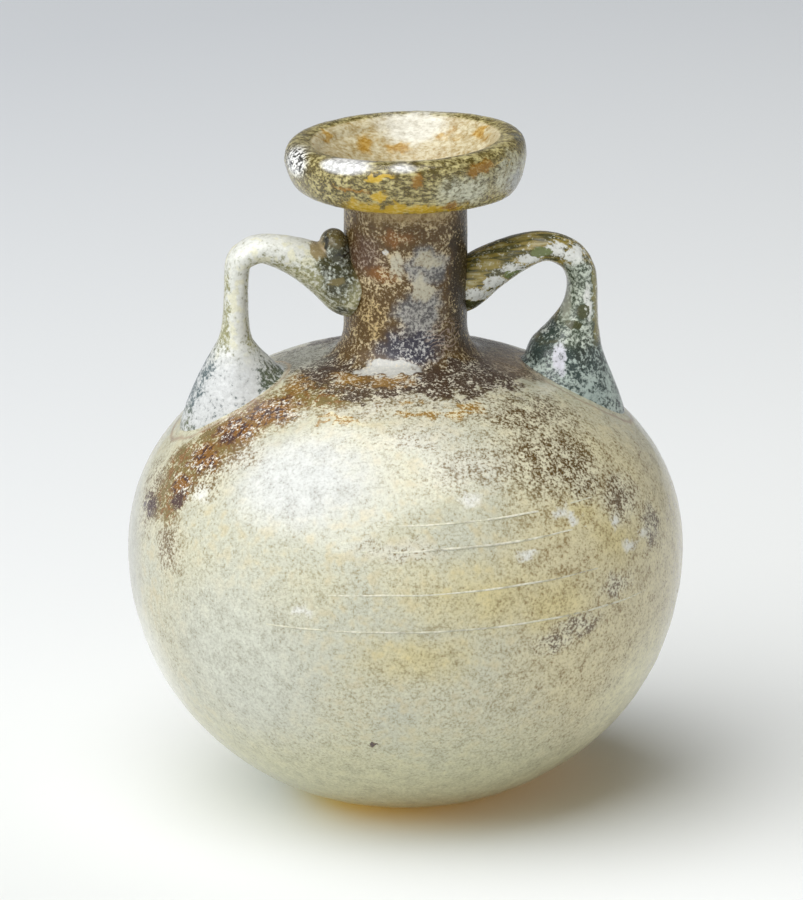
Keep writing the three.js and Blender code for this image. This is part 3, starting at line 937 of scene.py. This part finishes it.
rightHandle = dict(
    azimuth=4,
    swing=7,
    footInset=6.4,
    footLength=14.2,
    footWide=12.6,
    flareShare=0.89,
    outerFlare=3.2,
    limbInset=11.85,
    limbThick=3.5,
    limbWide=4.8,
    cornerRadius=4.4,
    strapThick=3.3,
    strapWide=5.2,
    archDrop=7.8,
    joinDrop=12.15,
    joinTall=6.1,
    joinWide=5.8,
    joinRoll=-24,
)

leftHandle = dict(
    azimuth=186.5,
    swing=5.5,
    footInset=5.6,
    footLength=14.3,
    footWide=13,
    flareShare=0.6,
    outerFlare=1.4,
    limbInset=12.7,
    limbThick=2.7,
    limbWide=4.6,
    cornerRadius=3,
    strapThick=3.2,
    strapWide=5.2,
    archDrop=6.7,
    joinDrop=11.4,
    joinTall=7,
    joinWide=8.2,
    joinRoll=0,
)

fold = dict(turn=3, thick=3.3, wide=5, tall=9.4, topDrop=4.7)


def ring(r, z, lean, thick, wide, roll=0):
    return (r, z, math.radians(lean), thick / 2, wide / 2, math.radians(roll))


def smoothThrough(rings, along):  # a Catmull-Rom curve, along from 0 to 1
    count = len(rings) - 1
    span = min(int(along * count), count - 1)
    t = along * count - span

    def at(i):
        if i < 0:
            return [2 * a - b for a, b in zip(rings[0], rings[1])]
        if i > count:
            return [2 * a - b for a, b in zip(rings[-1], rings[-2])]
        return rings[i]

    values = []
    for a, b, c, d in zip(at(span - 1), at(span), at(span + 1), at(span + 2)):
        square = (2 * a - 5 * b + 4 * c - d) * t * t
        cube = (3 * b - a - 3 * c + d) * t ** 3
        values.append(0.5 * (2 * b + (c - a) * t + square + cube))
    return values


def ringMatrix(values, azimuth):
    r, z, lean, thick, wide, roll = values
    turn = Matrix.Rotation(math.radians(azimuth), 4, "Z")
    place = Matrix.Translation((r * mm, 0, z * mm))
    tilt = Matrix.Rotation(lean, 4, "Y") @ Matrix.Rotation(roll, 4, "Z")
    size = Matrix.Diagonal((thick * mm, wide * mm, 1, 1))
    return turn @ place @ tilt @ size


def handleRings(h):
    h, s = SimpleNamespace(**h), SimpleNamespace(**shared)
    footOuter = flask["bodyRadius"] - h.footInset
    limbReach = flask["bodyRadius"] - h.limbInset
    half = h.footLength / 2
    footReach = footOuter - half * math.cos(shoulderSlope(footOuter - half))
    slope = shoulderSlope(footReach)
    seat = shoulderHeight(footReach)
    limbOuter = limbReach + h.limbThick / 2
    arch = flask["underside"] - h.archDrop
    cornerFoot = arch - h.cornerRadius
    join = flask["underside"] - h.joinDrop
    strapStart = limbReach - h.cornerRadius
    neck = flask["neckRadius"]
    flareHeight = h.flareShare * (cornerFoot - seat)

    def padRing(lift, spread):
        r = footReach + lift * math.sin(slope)
        z = seat + lift * math.cos(slope)
        return ring(r, z, math.degrees(slope), spread * h.footLength, spread * h.footWide)

    def flareRing(up):
        left = (1 - up) ** s.flarePower
        thick = lerp(h.limbThick, h.footLength, left)
        lean = slope * left
        outer = lerp(limbOuter, footOuter, (1 - up) ** h.outerFlare)
        wide = lerp(h.limbWide, h.footWide, left)
        r = outer - thick / 2 * math.cos(lean)
        return ring(r, seat + up * flareHeight, math.degrees(lean), thick, wide)

    def cornerRing(turn):
        inward = h.cornerRadius * (1 - math.cos(math.radians(turn)))
        upward = h.cornerRadius * math.sin(math.radians(turn))
        thick = lerp(h.limbThick, h.strapThick, turn / 90)
        wide = lerp(h.limbWide, h.strapWide, turn / 90)
        return ring(limbReach - inward, cornerFoot + upward, -turn, thick, wide)

    def strapRing(way):
        steepness = s.fallPower * (arch - join) / (strapStart - neck)
        lean = -90 - math.degrees(math.atan(steepness * way ** (s.fallPower - 1)))
        thick = lerp(h.strapThick, h.joinTall, way ** s.widenPower)
        wide = lerp(h.strapWide, h.joinWide, way ** s.widenPower)
        z = lerp(arch, join, way ** s.fallPower)
        return ring(lerp(strapStart, neck, way), z, lean, thick, wide, h.joinRoll * way)

    rings = [padRing(-s.padSag - s.sink, s.rootSpread), padRing(-s.padSag, 1)]
    rings += [padRing(-s.padDrop, s.padSpread)]
    rings += [flareRing(up) for up in s.flareStations]
    rings += [ring(limbReach, (seat + flareHeight + cornerFoot) / 2, 0, h.limbThick, h.limbWide)]
    rings += [cornerRing(turn) for turn in s.cornerStations]
    rings += [strapRing(way) for way in s.strapStations]
    end = (neck - s.sink, join - s.rootDrop, s.rootLean)
    rings += [ring(*end, h.joinTall, h.joinWide, h.joinRoll)]
    return rings


def foldRings():
    top = flask["underside"] - fold["topDrop"]
    stations = (
        (0, 0.2, 25, 0.3), (0.07, 0.27, 20, 0.75), (0.3, 0.36, 8, 1), (0.6, 0.42, 2, 1),
        (0.86, 0.5, 12, 0.92), (0.965, 0.55, 16, 0.66), (1, 0.55, 16, 0.23),
    )  # share of the height, how far out, lean, fullness
    rings = []
    for up, out, lean, fullness in stations:
        r = flask["neckRadius"] + out * fold["thick"]
        z = top - (1 - up) * fold["tall"]
        rings.append(ring(r, z, lean, fullness * fold["thick"], fullness * fold["wide"]))
    return rings


def pullTrail(bm, rings, azimuth, swing):  # extrudes a circle from ring to ring
    steps = (len(rings) - 1) * shared["perSpan"]
    last = ringMatrix(smoothThrough(rings, 0), azimuth)
    circle = bmesh.ops.create_circle(bm, cap_ends=True, segments=shared["around"], radius=1, matrix=last)
    verts = circle["verts"]
    edges = list({edge for vert in verts for edge in vert.link_edges if all(v in verts for v in edge.verts)})
    for i in range(1, steps + 1):
        along = i / steps
        here = ringMatrix(smoothThrough(rings, along), azimuth + swing * along)
        grown = bmesh.ops.extrude_edge_only(bm, edges=edges)["geom"]
        verts = [g for g in grown if isinstance(g, bmesh.types.BMVert)]
        edges = [g for g in grown if isinstance(g, bmesh.types.BMEdge)]
        bmesh.ops.transform(bm, matrix=here @ last.inverted(), verts=verts)
        last = here
    bmesh.ops.holes_fill(bm, edges=edges, sides=0)


def fused(bm):  # melts overlapping trails into one skin
    rough = placed("trail", meshFrom(bm, "trail"))
    remesh = rough.modifiers.new("melt", "REMESH")
    remesh.mode = "VOXEL"
    remesh.voxel_size = shared["voxel"] * mm
    bpy.context.view_layer.update()
    melted = bmesh.new()
    melted.from_object(rough, bpy.context.evaluated_depsgraph_get())
    bpy.data.objects.remove(rough)
    axes = dict(use_axis_x=True, use_axis_y=True, use_axis_z=True)
    for _ in range(shared["smoothings"]):
        bmesh.ops.smooth_vert(melted, verts=melted.verts, factor=0.5, **axes)
    bmesh.ops.recalc_face_normals(melted, faces=melted.faces)
    melted.normal_update()
    return melted


def shapeHandle(h, withFold):
    bm = bmesh.new()
    pullTrail(bm, handleRings(h), h["azimuth"], h["swing"])
    if withFold:
        pullTrail(bm, foldRings(), h["azimuth"] + h["swing"] + fold["turn"], 0)
    bmesh.ops.recalc_face_normals(bm, faces=bm.faces)
    return fused(bm)


def makeHandle(name, h, node, crust, withFold=False):
    trail = shapeHandle(h, withFold)
    skin = grownSkin(trail.copy(), shared["skin"])
    pieceFrom(skin, name + "_crust", crust, "handle_glass", node)
    pieceFrom(trail, name + "_glass", greenGlass, "handle_glass", node)
    print(name, "made")


makeHandle("right_handle", rightHandle, "handle_right", rightHandleCrust)
makeHandle("left_handle", leftHandle, "handle_left", leftHandleCrust, withFold=True)


# Tooling lines: fine threads drawn round the body by the shears

toolLines = dict(
    tone=(0.70, 0.68, 0.57),
    rough=0.7,
    proud=0.03,
    taper=9,  # the ends thin out over a ninth of the length
    thinnest=0.05,
    wander=0.12,
    wanderTurn=0.12,
    sunk=0.02,  # into the crust
    steps=120,
    lines=[  # height at the axis, tilt to the right in degrees, from and to azimuth, half width
        (41.2, 1.7, -100, -40, 0.11),
        (38.5, 1.7, -118, -42, 0.13),
        (33.6, 1.7, -112, -38, 0.12),
        (29.2, 0.8, -140, -28, 0.12),
    ],
)


def lineMaterial():
    material, tree, surface = newMaterial("toolingLine")
    at = places(tree)
    grains = between(tree, field(tree, at, 0.4, 2.0, 0.6), 0.4, 0.6)
    plug(tree, surface, {
        "Base Color": mixed(tree, grains, toolLines["tone"], bodyCrust["crust"]),
        "Alpha": between(tree, field(tree, at, 2.4, 2.0, 0.6), 0.168, 0.568),
        "Roughness": toolLines["rough"],
    })
    return material


def bodyRadiusAt(z):
    f = SimpleNamespace(**flask)
    above = z > f.equator
    rise = f.bodyRise if above else f.bodyDepth
    fullness = f.upperFullness if above else f.lowerFullness
    share = min(abs(z - f.equator) / rise, 1)
    return f.bodyRadius * ovalShare(share, fullness)


def drawLines():
    bm = bmesh.new()
    c = toolLines
    for height, tilt, start, end, half in c["lines"]:
        slope = math.tan(math.radians(tilt))
        before = len(bm.verts)
        section = bmesh.ops.create_circle(bm, cap_ends=False, segments=6, radius=1)["verts"]
        r = bodyRadiusAt(height)
        size = Matrix.Diagonal((c["proud"] * mm * 2, half * mm, 1, 1))
        upright = Matrix.Rotation(math.pi / 2, 4, "X")
        place = Matrix.Translation((r * mm, 0, height * mm))
        turned = Matrix.Rotation(math.radians(start), 4, "Z")
        bmesh.ops.transform(bm, matrix=turned @ place @ upright @ size, verts=section)
        edges = list({edge for vert in section for edge in vert.link_edges})
        bmesh.ops.spin(
            bm, geom=section + edges, cent=(0, 0, 0), axis=(0, 0, 1), angle=math.radians(end - start),
            steps=c["steps"], use_merge=False, use_duplicate=False,
        )
        for vert in bm.verts[:][before:]:
            turn = math.degrees(math.atan2(vert.co.y, vert.co.x))
            share = (turn - start) / (end - start)
            thin = max(min(1, c["taper"] * min(share, 1 - share)), c["thinnest"])
            out = math.hypot(vert.co.x, vert.co.y) / mm - r
            z = height + (vert.co.z / mm - height) * thin + slope * vert.co.x / mm
            wander = c["wander"] * noise.noise(Vector((turn * c["wanderTurn"], height, 0)))
            reach = bodyRadiusAt(z) + skinThickness - c["sunk"] + out * thin
            angle = math.radians(turn)
            vert.co = Vector((reach * math.cos(angle), reach * math.sin(angle), z + wander)) * mm
    bmesh.ops.holes_fill(bm, edges=[e for e in bm.edges if e.is_boundary], sides=0)
    bmesh.ops.recalc_face_normals(bm, faces=bm.faces)
    return bm


pieceFrom(drawLines(), "tooling_lines", lineMaterial(), "weathered_glass")
print("tooling lines made")


# Floor, light and air

studio = dict(
    floorSize=6000,
    floorNear=(0.80, 0.815, 0.81),
    floorFar=(0.635, 0.66, 0.69),
    fadeFrom=60,  # painted shade: the floor darkens to the back and the left, where the light falls off
    fadeTo=430,
    floorCorner=(0.715, 0.73, 0.72),  # and is painted darker in the near left corner
    cornerFrom=0,
    cornerTo=110,
    keyDirection=(-0.38, -0.26, 0.89),
    keyDistance=900,
    keyAcross=1160,
    keyDeep=1320,
    keyPower=15.8,  # watts
    air=(0.97, 0.975, 0.96),
    airLow=0.58,  # brightness level with the horizon
    airHigh=0.05,  # and overhead
    airFront=2.0,  # how much brighter it is in front of the flask
    airBack=0.55,  # and behind it
)


def layFloor():
    bm = bmesh.new()
    bmesh.ops.create_grid(bm, x_segments=1, y_segments=1, size=studio["floorSize"] * mm / 2)
    material, tree, paper = newMaterial("floor")
    at = places(tree)
    # painted shade on the floor: darker to the back and the left, and in the near left corner
    fade = graded(tree, part(tree, at, (-0.7, 1, 0)), studio["fadeFrom"], studio["fadeTo"], 0.0, 1.0)
    tone = mixed(tree, fade, studio["floorNear"], studio["floorFar"])
    corner = between(tree, part(tree, at, (-1, -1, 0)), studio["cornerFrom"], studio["cornerTo"])
    tone = mixed(tree, corner, tone, studio["floorCorner"])
    plug(tree, paper, {"Base Color": tone, "Roughness": 0.9, "Specular IOR Level": 0.1})
    floor = placed("floor", meshFrom(bm, "floor"))
    floor.data.materials.append(material)


def hangLight():
    key = bpy.data.lights.new("softbox", "AREA")
    key.shape = "RECTANGLE"
    key.size = studio["keyAcross"] * mm
    key.size_y = studio["keyDeep"] * mm
    key.energy = studio["keyPower"]
    lamp = placed("softbox", key)
    direction = Vector(studio["keyDirection"]).normalized()
    lamp.location = Vector((0, 0, 40 * mm)) + direction * studio["keyDistance"] * mm
    lamp.rotation_euler = direction.to_track_quat("Z", "Y").to_euler()


def fillAir():  # a pale room with a dark ceiling, so that the glass has something dark to mirror
    world = bpy.data.worlds.new("air")
    world.use_nodes = True
    tree = world.node_tree
    towards = put(tree, "TexCoord").outputs["Generated"]
    fade = between(tree, part(tree, towards, up), 0.05, 0.7)
    level = blended(tree, fade, studio["airLow"], studio["airHigh"])
    side = graded(tree, part(tree, towards, (0, 1, 0)), -1.0, 1.0, studio["airFront"], studio["airBack"])
    plug(tree, tree.nodes["Background"], {"Color": (*studio["air"], 1), "Strength": both(tree, level, side)})
    scene.world = world


layFloor()
hangLight()
fillAir()
scene.view_settings.view_transform = "Standard"
limits = dict(
    use_denoising=True, max_bounces=10, diffuse_bounces=2, glossy_bounces=3, transmission_bounces=8,
    transparent_max_bounces=16, caustics_reflective=False, caustics_refractive=False,
)
for setting, value in limits.items():
    setattr(scene.cycles, setting, value)
print("studio set")
